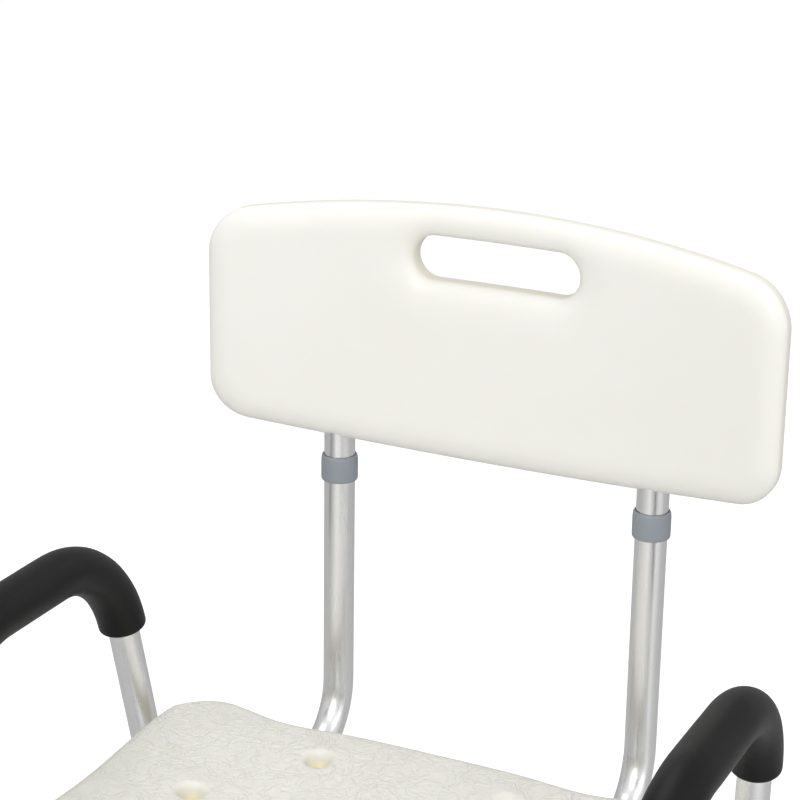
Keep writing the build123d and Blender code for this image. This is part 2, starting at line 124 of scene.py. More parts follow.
def roundedRun(points, radius, step=0.004):
    # the line through the points, with each corner turned into an arc
    line = [Vector(points[0])]
    for before, corner, after in zip(points, points[1:], points[2:]):
        corner = Vector(corner)
        a = (Vector(before) - corner).normalized()
        b = (Vector(after) - corner).normalized()
        half = a.angle(b) / 2
        centre = corner + (a + b).normalized() * radius / math.sin(half)
        start = corner + a * radius / math.tan(half)
        turn = math.pi - 2 * half
        axis = (start - centre).cross(-a).normalized()
        count = max(4, int(turn * radius / step))
        addStraight(line, start, 0.012)
        for i in range(1, count + 1):
            spin = Matrix.Rotation(turn * i / count, 3, axis)
            line.append(centre + spin @ (start - centre))
    addStraight(line, Vector(points[-1]), 0.012)
    return line


def addStraight(line, goal, step):
    start = line[-1]
    count = max(1, round((goal - start).length / step))
    for i in range(1, count + 1):
        line.append(start.lerp(goal, i / count))


def sweepFrames(line):
    # one (place, side, up) for each point, without twist
    frames = []
    side = None
    for i, spot in enumerate(line):
        ahead = line[min(i + 1, len(line) - 1)] - line[max(i - 1, 0)]
        ahead.normalize()
        if side is None:
            side = ahead.orthogonal().normalized()
        side = (side - ahead * side.dot(ahead)).normalized()
        frames.append((spot, side, ahead.cross(side), ahead))
    return frames


def fillBetween(outer, holes, gridStep):
    # triangles inside a flat outline, outside its holes, with a grid of inner points
    points = [Vector(p) for p in outer]
    loops = [list(range(len(outer)))]
    for hole in holes:
        loops.append(list(range(len(points), len(points) + len(hole))))
        points += [Vector(p) for p in hole]
    edges = [(loop[i], loop[(i + 1) % len(loop)]) for loop in loops for i in range(len(loop))]
    fixed = len(points)
    lowX, highX = min(p[0] for p in outer), max(p[0] for p in outer)
    lowY, highY = min(p[1] for p in outer), max(p[1] for p in outer)
    for row in range(int((highY - lowY) / gridStep) + 1):
        for column in range(int((highX - lowX) / gridStep) + 1):
            shift = gridStep / 2 * (row % 2)
            spot = Vector((lowX + column * gridStep + shift, lowY + row * gridStep))
            if clearOf(spot, outer, holes, gridStep * 0.5):
                points.append(spot)
    made = delaunay_2d_cdt(points, edges, [], 0, 1e-7, True)
    verts, triangles, origins = made[0], made[2], made[3]
    lookup = {new: old[0] for new, old in enumerate(origins) if old}
    if len(lookup) < len(verts):
        print("the outline crosses its holes")
    kept = []
    for triangle in triangles:
        centre = sum((verts[i] for i in triangle), Vector((0, 0))) / 3
        if inside(centre, outer) and not any(inside(centre, hole) for hole in holes):
            kept.append(tuple(lookup[i] for i in triangle))
    return [points[i] for i in range(fixed, len(points))], kept, fixed


def inside(spot, loop):
    found = False
    for a, b in zip(loop, loop[1:] + loop[:1]):
        if (a[1] > spot[1]) != (b[1] > spot[1]):
            if spot[0] < (b[0] - a[0]) * (spot[1] - a[1]) / (b[1] - a[1]) + a[0]:
                found = not found
    return found


def clearOf(spot, outer, holes, gap):
    if not inside(spot, outer) or any(inside(spot, hole) for hole in holes):
        return False
    return all((Vector(p) - spot).length > gap for loop in [outer, *holes] for p in loop)


def smoothStep(low, high, value):
    t = min(1.0, max(0.0, (value - low) / (high - low)))
    return t * t * (3 - 2 * t)


def roundProfile(width, depth, count=9):
    # (inset from the edge, depth below the face) of an elliptic edge, from the face outward
    spots = []
    for i in range(count + 1):
        a = math.pi / 2 * i / count
        spots.append((width * (1 - math.sin(a)), depth * (1 - math.cos(a))))
    return spots


def paint(piece, name, values):
    layer = piece.data.attributes.new(name, "FLOAT", "POINT")
    layer.data.foreach_set("value", values)


def newGroup(name, inputs, outputs):
    group = bpy.data.node_groups.new(name, "ShaderNodeTree")
    for label, kind, value in inputs:
        socket = group.interface.new_socket(label, in_out="INPUT", socket_type=kind)
        if value is not None:
            socket.default_value = value
    for label, kind in outputs:
        group.interface.new_socket(label, in_out="OUTPUT", socket_type=kind)
    enter = group.nodes.new("NodeGroupInput")
    leave = group.nodes.new("NodeGroupOutput")
    return group, enter, leave


def addNode(tree, kind, links=None, **settings):
    node = tree.nodes.new(kind)
    for key, value in settings.items():
        setattr(node, key, value)
    for socket, source in (links or {}).items():
        if isinstance(source, bpy.types.NodeSocket):
            tree.links.new(source, node.inputs[socket])
        else:
            node.inputs[socket].default_value = source
    return node


def grainGroup():
    # fine unevenness: a height for bump and a mask for colour and roughness
    inputs = [("Scale", "NodeSocketFloat", 100.0), ("Detail", "NodeSocketFloat", 4.0)]
    group, enter, leave = newGroup("grain", inputs,
                                   [("Height", "NodeSocketFloat"), ("Patch", "NodeSocketFloat")])
    place = addNode(group, "ShaderNodeTexCoord")
    fine = addNode(group, "ShaderNodeTexNoise",
                   {"Vector": place.outputs["Object"], "Scale": enter.outputs["Scale"],
                                                 "Detail": enter.outputs["Detail"]})
    broad = addNode(group, "ShaderNodeTexNoise",
                    {"Vector": place.outputs["Object"], "Scale": 9.0, "Detail": 3.0})
    group.links.new(fine.outputs["Fac"], leave.inputs["Height"])
    group.links.new(broad.outputs["Fac"], leave.inputs["Patch"])
    return group


def hideGroup():
    # the wandering creases of a leather-like moulded surface
    inputs = [("Scale", "NodeSocketFloat", 60.0), ("Warp", "NodeSocketFloat", 0.02)]
    group, enter, leave = newGroup("hideCreases", inputs, [("Height", "NodeSocketFloat")])
    place = addNode(group, "ShaderNodeTexCoord")
    wander = addNode(group, "ShaderNodeTexNoise",
                     {"Vector": place.outputs["Object"], "Scale": 30.0, "Detail": 2.0})
    centred = addNode(group, "ShaderNodeVectorMath", {0: wander.outputs["Color"], 1: (0.5, 0.5, 0.5)},
                      operation="SUBTRACT")
    pushed = addNode(group, "ShaderNodeVectorMath", {0: centred.outputs[0], "Scale": enter.outputs["Warp"]},
                     operation="SCALE")
    moved = addNode(group, "ShaderNodeVectorMath", {0: place.outputs["Object"], 1: pushed.outputs[0]},
                    operation="ADD")

    def creases(times, width):
        # thin valleys along the middle contour of a noise, so they wander and fork
        size = addNode(group, "ShaderNodeMath", {0: enter.outputs["Scale"], 1: times}, operation="MULTIPLY")
        cloud = addNode(group, "ShaderNodeTexNoise", {"Vector": moved.outputs[0], "Scale": size.outputs[0],
                                                      "Detail": 1.5, "Distortion": 0.8})
        away = addNode(group, "ShaderNodeMath", {0: cloud.outputs["Fac"], 1: 0.5}, operation="SUBTRACT")
        gap = addNode(group, "ShaderNodeMath", {0: away.outputs[0]}, operation="ABSOLUTE")
        valley = addNode(group, "ShaderNodeMapRange", {"Value": gap.outputs[0], "From Max": width},
                         interpolation_type="SMOOTHSTEP")
        return valley.outputs["Result"]

    large, small = creases(1.0, 0.07), creases(2.3, 0.09)
    height = addNode(group, "ShaderNodeMath", {0: large, 1: 0.6}, operation="MULTIPLY")
    total = addNode(group, "ShaderNodeMath", {0: small, 1: 0.4, 2: height.outputs[0]},
                    operation="MULTIPLY_ADD")
    group.links.new(total.outputs[0], leave.inputs["Height"])
    return group


def drawnGroup():
    # faint lines that drawing leaves along a tube
    inputs = [("Along", "NodeSocketVector", (1.0, 1.0, 0.04)), ("Scale", "NodeSocketFloat", 900.0)]
    group, enter, leave = newGroup("drawnLines", inputs,
                                   [("Line", "NodeSocketFloat"), ("Cloud", "NodeSocketFloat")])
    place = addNode(group, "ShaderNodeTexCoord")
    stretched = addNode(group, "ShaderNodeVectorMath",
                        {0: place.outputs["Object"], 1: enter.outputs["Along"]},
                        operation="MULTIPLY")
    lines = addNode(group, "ShaderNodeTexNoise",
                    {"Vector": stretched.outputs[0], "Scale": enter.outputs["Scale"],
                                                  "Detail": 3.0})
    cloud = addNode(group, "ShaderNodeTexNoise",
                    {"Vector": place.outputs["Object"], "Scale": 22.0, "Detail": 4.0})
    group.links.new(lines.outputs["Fac"], leave.inputs["Line"])
    group.links.new(cloud.outputs["Fac"], leave.inputs["Cloud"])
    return group


grain = grainGroup()
hide = hideGroup()
drawn = drawnGroup()


def newMaterial(name):
    material = bpy.data.materials.new(name)
    material.use_nodes = True
    tree = material.node_tree
    return material, tree, tree.nodes["Principled BSDF"]


def useGroup(tree, group, **values):
    node = addNode(tree, "ShaderNodeGroup", node_tree=group)
    for key, value in values.items():
        node.inputs[key].default_value = value
    return node


def mixColour(tree, mask, first, second):
    node = addNode(tree, "ShaderNodeMix", data_type="RGBA")
    tree.links.new(mask, node.inputs[0])
    for index, colour in ((6, first), (7, second)):
        if isinstance(colour, bpy.types.NodeSocket):
            tree.links.new(colour, node.inputs[index])
        else:
            node.inputs[index].default_value = (*colour, 1)
    return node.outputs[2]


def ramp(tree, value, low, high, toLow, toHigh):
    node = addNode(tree, "ShaderNodeMapRange", {"Value": value, "From Min": low, "From Max": high,
                                                "To Min": toLow, "To Max": toHigh})
    return node.outputs["Result"]


def addBump(tree, shader, height, strength, distance):
    bump = addNode(tree, "ShaderNodeBump", {"Strength": strength, "Distance": distance, "Height": height})
    tree.links.new(bump.outputs["Normal"], shader.inputs["Normal"])


def mouldedPlastic(name, look):
    # translucent off-white polyethylene, with a painted warm shade on its edges and in its deep hollows that
    # stands in for light through the plastic
    material, tree, shader = newMaterial(name)
    fine = useGroup(tree, grain, Scale=look["grainScale"], Detail=5.0)
    # painted shade: a vertex mask of edges and hollows mixes in a yellower, darker colour
    paintedWarmShade = addNode(tree, "ShaderNodeAttribute", attribute_name="paintedWarmShadeMask")
    cloudy = mixColour(tree, ramp(tree, fine.outputs["Patch"], 0.35, 0.65, 0, 1), look["colour"],
                       look["shade"])
    colour = mixColour(tree, paintedWarmShade.outputs["Fac"], cloudy, look["paintedWarmShade"])
    tree.links.new(colour, shader.inputs["Base Color"])
    tree.links.new(ramp(tree, fine.outputs["Height"], 0.3, 0.7, *look["roughness"]),
                   shader.inputs["Roughness"])
    shader.inputs["Subsurface Weight"].default_value = look["translucence"]
    shader.inputs["Subsurface Radius"].default_value = (1.0, 0.85, 0.55)
    shader.inputs["Subsurface Scale"].default_value = 0.006
    shader.inputs["IOR"].default_value = 1.5
    if look.get("creaseScale"):
        creases = useGroup(tree, hide, Scale=look["creaseScale"], Warp=look["creaseWarp"])
        where = addNode(tree, "ShaderNodeAttribute", attribute_name="creased")
        deep = addNode(tree, "ShaderNodeMath", {0: creases.outputs["Height"], 1: where.outputs["Fac"]},
                       operation="MULTIPLY")
        addBump(tree, shader, deep.outputs[0], look["bump"], look["bumpDepth"])
    else:
        addBump(tree, shader, fine.outputs["Height"], look["bump"], look["bumpDepth"])
    return material


# the warm colours below are painted shade for edges, slot walls and drain hollows
backLook = {"colour": (0.87, 0.86, 0.815), "shade": (0.855, 0.845, 0.795), "paintedWarmShade": (0.83, 0.80, 0.68),
            "grainScale": 260.0, "roughness": (0.34, 0.44), "translucence": 0.12, "bump": 0.05,
            "bumpDepth": 0.0004}
seatLook = {"colour": (0.79, 0.78, 0.725), "shade": (0.77, 0.76, 0.70), "paintedWarmShade": (0.82, 0.76, 0.52),
            "grainScale": 400.0, "roughness": (0.40, 0.52), "translucence": 0.1, "bump": 0.8,
            "bumpDepth": 0.0007, "creaseScale": 75.0, "creaseWarp": 0.035}
backPlastic = mouldedPlastic("backPlastic", backLook)
seatPlastic = mouldedPlastic("seatPlastic", seatLook)


def satinMetal(name, colour, roughness, along, lineDepth):
    material, tree, shader = newMaterial(name)
    lines = useGroup(tree, drawn, Along=along, Scale=700.0)
    dark = tuple(c * 0.93 for c in colour)
    tree.links.new(mixColour(tree, lines.outputs["Cloud"], colour, dark), shader.inputs["Base Color"])
    tree.links.new(ramp(tree, lines.outputs["Line"], 0.3, 0.7, *roughness), shader.inputs["Roughness"])
    shader.inputs["Metallic"].default_value = 1.0
    addBump(tree, shader, lines.outputs["Line"], 0.25, lineDepth)
    return material


uprightTube = satinMetal("uprightTube", (0.88, 0.88, 0.88), (0.26, 0.36), (1, 1, 0.03), 0.00004)
steel = satinMetal("steel", (0.66, 0.66, 0.65), (0.2, 0.34), (1, 1, 1), 0.00003)
brass = satinMetal("brass", (0.72, 0.56, 0.27), (0.25, 0.4), (1, 1, 1), 0.00003)


def plainPolymer(name, colour, roughness, scale, depth, fade=0.85, gloss=0.5):
    material, tree, shader = newMaterial(name)
    fine = useGroup(tree, grain, Scale=scale, Detail=6.0)
    dark = tuple(c * fade for c in colour)
    tree.links.new(mixColour(tree, fine.outputs["Patch"], colour, dark), shader.inputs["Base Color"])
    tree.links.new(ramp(tree, fine.outputs["Height"], 0.3, 0.7, *roughness), shader.inputs["Roughness"])
    shader.inputs["Specular IOR Level"].default_value = gloss
    addBump(tree, shader, fine.outputs["Height"], 0.35, depth)
    return material


greyPlastic = plainPolymer("greyPlastic", (0.285, 0.315, 0.345), (0.42, 0.55), 600.0, 0.00008)
darkPlastic = plainPolymer("darkPlastic", (0.05, 0.053, 0.058), (0.4, 0.55), 600.0, 0.00008)
footRubber = plainPolymer("footRubber", (0.19, 0.20, 0.215), (0.6, 0.8), 500.0, 0.00012)
blackFoam = plainPolymer("blackFoam", (0.006, 0.006, 0.0065), (0.36, 0.48), 1500.0, 0.0001, 0.8, 0.22)
print("materials made")


def dressNodes():
    # the CAD pieces that stay in view, each with its own finish
    finishes = {"satin_tube": uprightTube, "bright_steel": steel, "brass": brass, "grey_plastic": greyPlastic,
                "dark_plastic": darkPlastic, "foot_rubber": footRubber, "black_foam": blackFoam,
                "seat_plastic": seatPlastic, "back_plastic": backPlastic}
    slots = {entry["node"]: entry["material_slot"] for entry in frame["record"]["subparts"]}
    for name, node in nodes.items():
        node.data.materials.clear()
        node.data.materials.append(finishes[slots[name]])
        for face in node.data.polygons:
            face.use_smooth = True
        node.data.set_sharp_from_angle(angle=math.radians(32))


dressNodes()


# the moulded back, with its hand slot and the channels for its two tubes
backShape = {
    "thick": 0.0265, "bowRadius": 1.125, "topRadius": 1.25, "bottomRadius": 1.94,
    "cornerTop": 0.040, "cornerBottom": 0.036,
    "frontRound": (0.021, 0.0120), "rearRound": (0.010, 0.0095),
    "gripHalfLength": 0.0697, "gripRadius": 0.018, "gripRise": 0.177,
    "gripRound": (0.012, 0.0095), "gripRear": (0.006, 0.006), "gripDish": (0.030, 0.0022),
    "ringReach": 0.008, "channelGap": 0.0006,
}


def backCorners(shape):
    # centres of the corner arcs: (x, z, radius) at the top and at the bottom
    w = panelHigh.x
    topR, bottomR = shape["topRadius"], shape["bottomRadius"]
    r1, r2 = shape["cornerTop"], shape["cornerBottom"]
    z1 = panelHigh.z - topR + math.sqrt((topR - r1) ** 2 - (w - r1) ** 2)
    z2 = panelLow.z + bottomR - math.sqrt((bottomR - r2) ** 2 - (w - r2) ** 2)
    return (w - r1, z1, r1), (w - r2, z2, r2)


def backOutline(shape):
    # (x, z, outward x, outward z) round the panel, anticlockwise from the right-hand side
    w = panelHigh.x
    top, bottom = panelHigh.z, panelLow.z
    topR, bottomR = shape["topRadius"], shape["bottomRadius"]
    (x1, z1, r1), (x2, z2, r2) = backCorners(shape)
    upper = math.atan2(z1 - top + topR, x1)
    lower = math.atan2(bottom + bottomR - z2, x2)
    line = []

    def arc(x, z, radius, start, stop, count):
        for i in range(count):
            a = start + (stop - start) * i / count
            line.append((x + radius * math.cos(a), z + radius * math.sin(a), math.cos(a), math.sin(a)))

    def side(x, start, stop, out, count):
        for i in range(count):
            line.append((x, start + (stop - start) * i / count, out, 0))

    side(w, z2, z1, 1, 24)
    arc(x1, z1, r1, 0, upper, 24)
    arc(0, top - topR, topR, upper, math.pi - upper, 90)
    arc(-x1, z1, r1, math.pi - upper, math.pi, 24)
    side(-w, z1, z2, -1, 24)
    arc(-x2, z2, r2, math.pi, math.pi + lower, 24)
    arc(0, bottom + bottomR, bottomR, math.pi + lower, 2 * math.pi - lower, 90)
    arc(x2, z2, r2, 2 * math.pi - lower, 2 * math.pi, 24)
    return line


def edgeDistance(x, z):
    # how far a point of the panel's face is from its outline
    shape = backShape
    corners = backCorners(shape)
    x = abs(x)
    for (cx, cz, radius), upward in zip(corners, (1, -1)):
        if x > cx and (z - cz) * upward > 0:
            return radius - math.hypot(x - cx, z - cz)
    top = shape["topRadius"] - math.hypot(x, z - panelHigh.z + shape["topRadius"])
    bottom = shape["bottomRadius"] - math.hypot(x, panelLow.z + shape["bottomRadius"] - z)
    return min(top, bottom, panelHigh.x - x)


def gripDistance(x, z):
    # how far a point is outside the hand slot
    reach = backShape["gripHalfLength"] - backShape["gripRadius"]
    across = max(0.0, abs(x) - reach)
    return math.hypot(across, z - collarTop - backShape["gripRise"]) - backShape["gripRadius"]


def gripOutline(shape, count=40):
    # (x, z, outward x, outward z) round the hand slot
    radius = shape["gripRadius"]
    reach = shape["gripHalfLength"] - radius
    z = collarTop + shape["gripRise"]
    line = []
    for centre, start in ((reach, -math.pi / 2), (-reach, math.pi / 2)):
        for i in range(count + 1):
            a = start + math.pi * i / count
            line.append((centre + radius * math.cos(a), z + radius * math.sin(a), math.cos(a), math.sin(a)))
        sign = 1 if centre > 0 else -1
        for i in range(1, 24):
            line.append((sign * (reach - 2 * reach * i / 24), z + sign * radius, 0, sign))
    return line


def roundFall(distance, width, depth):
    # drop of an elliptic edge at a distance in from it
    if distance >= width:
        return 0.0
    t = 1 - max(0.0, distance) / width
    return depth * (1 - math.sqrt(max(0.0, 1 - t * t)))


def edgeSteps(reach, width, count):
    # distances in from an edge, closest where the edge turns most
    last = math.acos(max(0.0, 1 - reach / width))
    return [width * (1 - math.cos(last * i / count)) for i in range(count + 1)]


def frontDrop(x, z, outer=None, inner=None):
    shape = backShape
    outer = edgeDistance(x, z) if outer is None else outer
    inner = gripDistance(x, z) if inner is None else inner
    reach, dip = shape["gripDish"]
    drop = roundFall(outer, *shape["frontRound"]) + roundFall(inner, *shape["gripRound"])
    return drop + dip * (1 - smoothStep(0, reach, inner))


def rearDrop(outer, inner):
    return roundFall(outer, *backShape["rearRound"]) + roundFall(inner, *backShape["gripRear"])


def backPanel():
    shape = backShape
    half = shape["thick"] / 2
    outline = backOutline(shape)
    grip = gripOutline(shape)

    def place(x, z, depth):
        bow = shape["bowRadius"] - math.sqrt(shape["bowRadius"] ** 2 - x * x)
        return Vector((x, panelHigh.y - half - bow + depth, z))

    verts = []
    faces = []

    def addRing(line, inset, front):
        # inset is inward from the outline, or outward from the slot
        for x, z, nx, nz in line:
            px, pz = x + nx * inset, z + nz * inset
            if front:
                verts.append(place(px, pz, -half + frontDrop(px, pz)))
            else:
                verts.append(place(px, pz, half - rearDrop(edgeDistance(px, pz), gripDistance(px, pz))))

    frontSteps = edgeSteps(shape["ringReach"], shape["frontRound"][0], 11)
    rearSteps = edgeSteps(shape["ringReach"], shape["rearRound"][0], 9)
    for front, steps in ((True, reversed(frontSteps)), (False, rearSteps)):
        for inset in steps:
            addRing(outline, -inset, front)
    rings = len(frontSteps) + len(rearSteps)
    faces += ringFaces(0, len(outline), rings)
    rims = {True: 0, False: (rings - 1) * len(outline)}  # the first and last rings meet the faces

    gripSteps = edgeSteps(shape["ringReach"] * 0.6, shape["gripRound"][0], 9)
    gripRear = edgeSteps(shape["ringReach"] * 0.6, shape["gripRear"][0], 8)
    base = len(verts)
    for front, steps in ((True, reversed(gripSteps)), (False, gripRear)):
        for inset in steps:
            addRing(grip, inset, front)
    rings = len(gripSteps) + len(gripRear)
    faces += ringFaces(base, len(grip), rings)
    holes = {True: base, False: base + (rings - 1) * len(grip)}

    for front in (True, False):
        inset = shape["ringReach"]
        rim = [(x - nx * inset, z - nz * inset) for x, z, nx, nz in outline]
        out = inset * 0.6
        hole = [(x + nx * out, z + nz * out) for x, z, nx, nz in grip]
        extra, triangles, fixed = fillBetween(rim, [hole], 0.005 if front else 0.012)
        start = len(verts)
        for x, z in extra:
            drop = frontDrop(x, z) if front else rearDrop(edgeDistance(x, z), gripDistance(x, z))
            verts.append(place(x, z, drop - half if front else half - drop))
        parts = ((0, len(rim), rims[front]), (len(rim), fixed, holes[front]),
                 (fixed, fixed + len(extra), start))
        faces += remap(triangles, parts)

    piece = makePiece("backPanelSkin", verts, faces, "back", "back_plastic", "backrest_panel")
    cutChannels(piece)
    piece.data.materials.append(backPlastic)
    # painted warm shade on side-facing surfaces (edges, channel walls and slot walls), strongest near the
    # hand slot
    paintedWarmShade = []
    for vertex in piece.data.vertices:
        edge = smoothStep(0.35, 1.0, 1 - abs(vertex.normal.y))
        near = gripDistance(vertex.co.x, vertex.co.z) < 0.004
        paintedWarmShade.append(edge * (0.9 if near else 0.45))
    paint(piece, "paintedWarmShadeMask", paintedWarmShade)
    return piece


def remap(triangles, parts):
    # swaps each triangle's local numbers for those of the whole mesh
    swapped = []
    for triangle in triangles:
        whole = []
        for i in triangle:
            whole.append(next(base + i - low for low, high, base in parts if low <= i < high))
        swapped.append(tuple(whole))
    return swapped


def cutChannels(piece):
    # the two open channels that the back tubes lie in
    radius = tubeRadius + backShape["channelGap"]
    low = panelLow.z - 0.02
    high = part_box("back_tube_plugs")[1].z + 0.002
    cutters = []
    for side in sides.values():
        ring = [(radius * math.cos(math.pi * i / 24),
                 -radius * math.sin(math.pi * i / 24)) for i in range(25)]
        ring += [(-radius, 0.05), (radius, 0.05)]
        verts = [Vector((side * postX + x, postY + y, z)) for z in (low, high) for x, y in ring]
        faces = ringFaces(0, len(ring), 2)
        faces += [tuple(range(len(ring))), tuple(range(2 * len(ring) - 1, len(ring) - 1, -1))]
        mesh = bpy.data.meshes.new("channelCutter")
        mesh.from_pydata([tuple(v) for v in verts], [], faces)
        cutter = bpy.data.objects.new("channelCutter", mesh)
        bpy.context.scene.collection.objects.link(cutter)
        tidyMesh(cutter)
        cut = piece.modifiers.new("channel", "BOOLEAN")
        cut.object = cutter
        cut.solver = "EXACT"
        cutters.append(cutter)
    soften = piece.modifiers.new("soften", "BEVEL")
    soften.width = 0.0012
    soften.segments = 3
    soften.angle_limit = math.radians(50)
    bpy.context.view_layer.update()
    bakeModifiers(piece)
    for cutter in cutters:
        bpy.data.objects.remove(cutter)


backPanel()
print("back panel made")


# the moulded seat; drains are (across, back) from its middle in mm, on both sides
seatShape = {
    "halfWidth": 0.234, "waist": 0.005, "lobe": 0.005, "dip": 0.006,
    "topRound": (0.013, 0.012), "bottomRound": (0.007, 0.007),
    "thick": 0.036, "dish": 0.009,
    "drains": [(80, 111), (143, 23), (126, -72), (52, -122)],
    "bowl": [(0.0165, 0), (0.0145, 0.0002), (0.0128, 0.0007), (0.0115, 0.0015), (0.0105, 0.0027),
             (0.0098, 0.0042), (0.0092, 0.0060), (0.0085, 0.0078), (0.0077, 0.0094), (0.0068, 0.0106),
             (0.0060, 0.0116), (0.0055, 0.0130)],
    "padLength": 0.040, "padWall": 0.005, "padSpot": 0.100, "padGap": 0.0002, "padClear": 0.003,
    "padSink": 0.004, "padFlare": 0.002,
}


def smoothLoop(points, per):
    # closed curve through the points
    line = []
    count = len(points)
    for i in range(count):
        p0, p1, p2, p3 = (Vector(points[(i + k) % count]) for k in (-1, 0, 1, 2))
        for j in range(per):
            t = j / per
            line.append(0.5 * (2 * p1 + (p2 - p0) * t + (2 * p0 - 5 * p1 + 4 * p2 - p3) * t * t
                               + (3 * p1 - p0 - 3 * p2 + p3) * t ** 3))
    return line


def seatOutline(shape):
    rear = seatHigh.y - shape["lobe"]
    front = seatLow.y
    w = shape["halfWidth"]
    half = [(0, rear), (0.070, rear - 0.001), (0.132, rear - shape["dip"]), (w - 0.042, rear + shape["lobe"]),
            (w - 0.009, rear - 0.013), (w, rear - 0.046), (w - shape["waist"], midY), (w, front + 0.058),
            (w - 0.012, front + 0.022), (w - 0.046, front + 0.005), (0.110, front + 0.001)]
    points = half + [(0, front)] + [(-x, y) for x, y in reversed(half[1:])]
    line = smoothLoop(points, 9)
    spots = []
    for i, spot in enumerate(line):
        along = (line[(i + 1) % len(line)] - line[i - 1]).normalized()
        spots.append((spot.x, spot.y, -along.y, along.x))
    return spots


def seatHeight(x, y):
    # contour of the top, a shallow dish
    u = abs(x) / seatShape["halfWidth"]
    v = abs(y - midY) / 0.165
    edge = (u ** 3.2 + v ** 3.2) ** (1 / 3.2)
    dish = seatShape["dish"] * (1 - smoothStep(0.25, 0.98, edge))
    return seatHigh.z - dish


def addPads(piece, floorZ):
    # blocks under the seat, grooved to sit on the rails
    shape = seatShape
    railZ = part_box("rail_plugs")[0].z + tubeRadius
    outer = tubeRadius + shape["padWall"]
    groove = tubeRadius + shape["padGap"]
    low, high = railZ + shape["padClear"], floorZ + shape["padSink"]
    turn = math.asin((low - railZ) / groove)
    ring = [(outer, low), (outer + shape["padFlare"], high), (-outer - shape["padFlare"], high),
            (-outer, low)]
    for i in range(21):
        a = math.pi - turn - (math.pi - 2 * turn) * i / 20
        ring.append((groove * math.cos(a), railZ + groove * math.sin(a)))
    verts = []
    faces = []
    half = shape["padLength"] / 2
    for side in sides.values():
        for end in (-1, 1):
            start = len(verts)
            for y in (-half, half):
                verts += [(side * postX + x, midY + end * shape["padSpot"] + y, z) for x, z in ring]
            faces += ringFaces(start, len(ring), 2)
            faces += [tuple(start + i for i in range(len(ring)))]
            faces += [tuple(start + len(ring) + i for i in reversed(range(len(ring))))]
    mesh = bpy.data.meshes.new("pads")
    mesh.from_pydata(verts, [], faces)
    pads = bpy.data.objects.new("pads", mesh)
    bpy.context.scene.collection.objects.link(pads)
    tidyMesh(pads)
    soften = pads.modifiers.new("soften", "BEVEL")
    soften.width = 0.0012
    soften.segments = 2
    soften.angle_limit = math.radians(40)
    join = piece.modifiers.new("pads", "BOOLEAN")
    join.operation = "UNION"
    join.object = pads
    join.solver = "EXACT"
    bpy.context.view_layer.update()
    bakeModifiers(piece)
    bpy.data.objects.remove(pads)


def seatTop():
    shape = seatShape
    outline = seatOutline(shape)
    floorZ = seatHigh.z - shape["thick"]
    outer = roundProfile(*shape["topRound"], 10)
    verts = []
    faces = []
    for inset, depth in outer:
        for x, y, nx, ny in outline:
            px, py = x - nx * inset, y - ny * inset
            verts.append(Vector((px, py, seatHeight(px, py) - depth)))
    under = [(inset, floorZ + depth) for inset, depth in reversed(roundProfile(*shape["bottomRound"]))]
    for inset, z in under:
        verts += [Vector((x - nx * inset, y - ny * inset, z)) for x, y, nx, ny in outline]
    rings = len(outer) + len(under)
    faces += ringFaces(0, len(outline), rings)

    drainSides = 32
    drainStarts = []
    spots = [(side * x / 1000, midY + y / 1000) for x, y in shape["drains"] for side in (-1, 1)]
    for cx, cy in spots:
        drainStarts.append(len(verts))
        top = seatHeight(cx, cy)
        for radius, depth in shape["bowl"]:
            for i in range(drainSides):
                a = 2 * math.pi * i / drainSides
                x, y = cx + radius * math.cos(a), cy + radius * math.sin(a)
                blend = smoothStep(0, 0.004, depth)
                z = seatHeight(x, y) * (1 - blend) + top * blend - depth
                verts.append(Vector((x, y, z)))
        last = shape["bowl"][-1][0]
        for i in range(drainSides):
            a = 2 * math.pi * i / drainSides
            verts.append(Vector((cx + last * math.cos(a), cy + last * math.sin(a), floorZ)))
        faces += ringFaces(drainStarts[-1], drainSides, len(shape["bowl"]) + 1)

    for ring, drainRing, step in ((0, 0, 0.006), (rings - 1, len(shape["bowl"]), 0.03)):
        rimBase = ring * len(outline)
        rim = [(verts[rimBase + i].x, verts[rimBase + i].y) for i in range(len(outline))]
        holes = []
        for start in drainStarts:
            base = start + drainRing * drainSides
            holes.append([(verts[base + i].x, verts[base + i].y) for i in range(drainSides)])
        extra, triangles, fixed = fillBetween(rim, holes, step)
        base = len(verts)
        for p in extra:
            verts.append(Vector((p[0], p[1], seatHeight(p[0], p[1]) if ring == 0 else floorZ)))
        parts = [(0, len(rim), rimBase)]
        for hole, start in enumerate(drainStarts):
            low = len(rim) + hole * drainSides
            parts.append((low, low + drainSides, start + drainRing * drainSides))
        parts.append((fixed, fixed + len(extra), base))
        faces += remap(triangles, parts)

    piece = makePiece("seatSkin", verts, faces, "frame", "seat_plastic", "seat_panel")
    addPads(piece, floorZ)
    piece.data.materials.append(seatPlastic)
    # painted warm shade deep in the drain bowls and on the seat's sides
    paintedWarmShade = []
    creased = []
    for vertex in piece.data.vertices:
        depth = seatHeight(vertex.co.x, vertex.co.y) - vertex.co.z
        gap = min(math.hypot(vertex.co.x - x, vertex.co.y - y) for x, y in spots)
        deep = smoothStep(0.005, 0.011, depth) if gap < 0.014 else 0.0
        side = 0.35 * smoothStep(0.3, 1.0, 1 - abs(vertex.normal.z))
        paintedWarmShade.append(max(deep, side))
        creased.append(smoothStep(0.0105, 0.017, gap) * smoothStep(0.4, 0.85, vertex.normal.z))
    paint(piece, "paintedWarmShadeMask", paintedWarmShade)
    paint(piece, "creased", creased)
    return piece


seatTop()
print("seat made")


# how far the arms and legs lean along the chair, and in or out across it, for each unit of height
slopes = {"lean": 0.184, "splay": 0.082, "tuck": 0.073}

